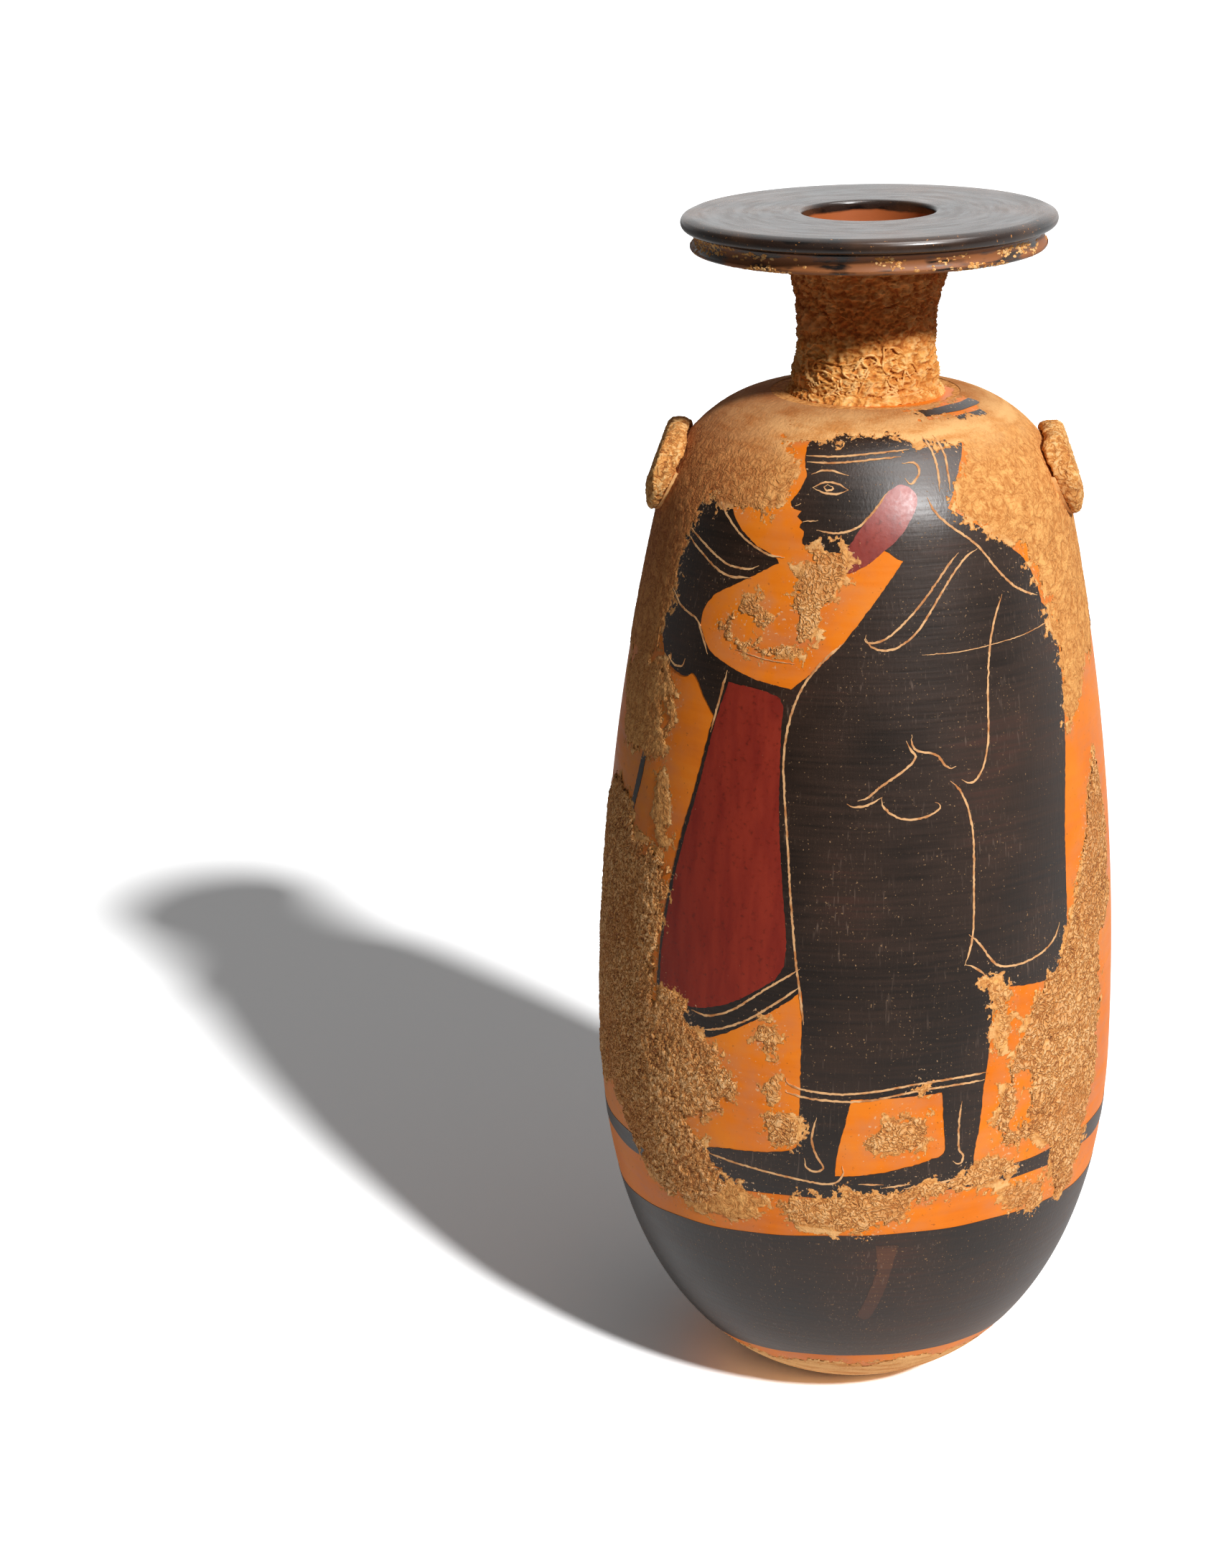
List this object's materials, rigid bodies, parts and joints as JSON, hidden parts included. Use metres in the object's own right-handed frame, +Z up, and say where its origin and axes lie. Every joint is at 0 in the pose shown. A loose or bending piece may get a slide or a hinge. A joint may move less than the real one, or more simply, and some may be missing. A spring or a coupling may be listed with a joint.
{
  "type": "alabastron",
  "caption": "Tall round-bottomed clay oil flask with a slim waisted neck, a wide flat mouth disc with a moulded edge, and shoulder lugs; painted black, orange and red.",
  "frame": {"origin": "centre of the flat resting face under the body", "axes": "+Z up along the flask's axis, -Y towards the viewer and the painted front, the lugs on +X and -X"},
  "size_m": [0.0688, 0.0688, 0.158],
  "materials": {
    "painted_clay": "orange clay with semi-gloss black slip and dull red",
    "crusted_clay": "matt buff burial crust",
    "black_gloss": "semi-gloss black slip"
  },
  "bodies": {
    "root": {"body": "painted_clay", "neck": "crusted_clay", "mouth_disc": "black_gloss", "neck_bead": "crusted_clay", "left_lug": "crusted_clay", "right_lug": "crusted_clay", "left_lug_lute": "crusted_clay", "right_lug_lute": "crusted_clay"}
  },
  "joints": []
}
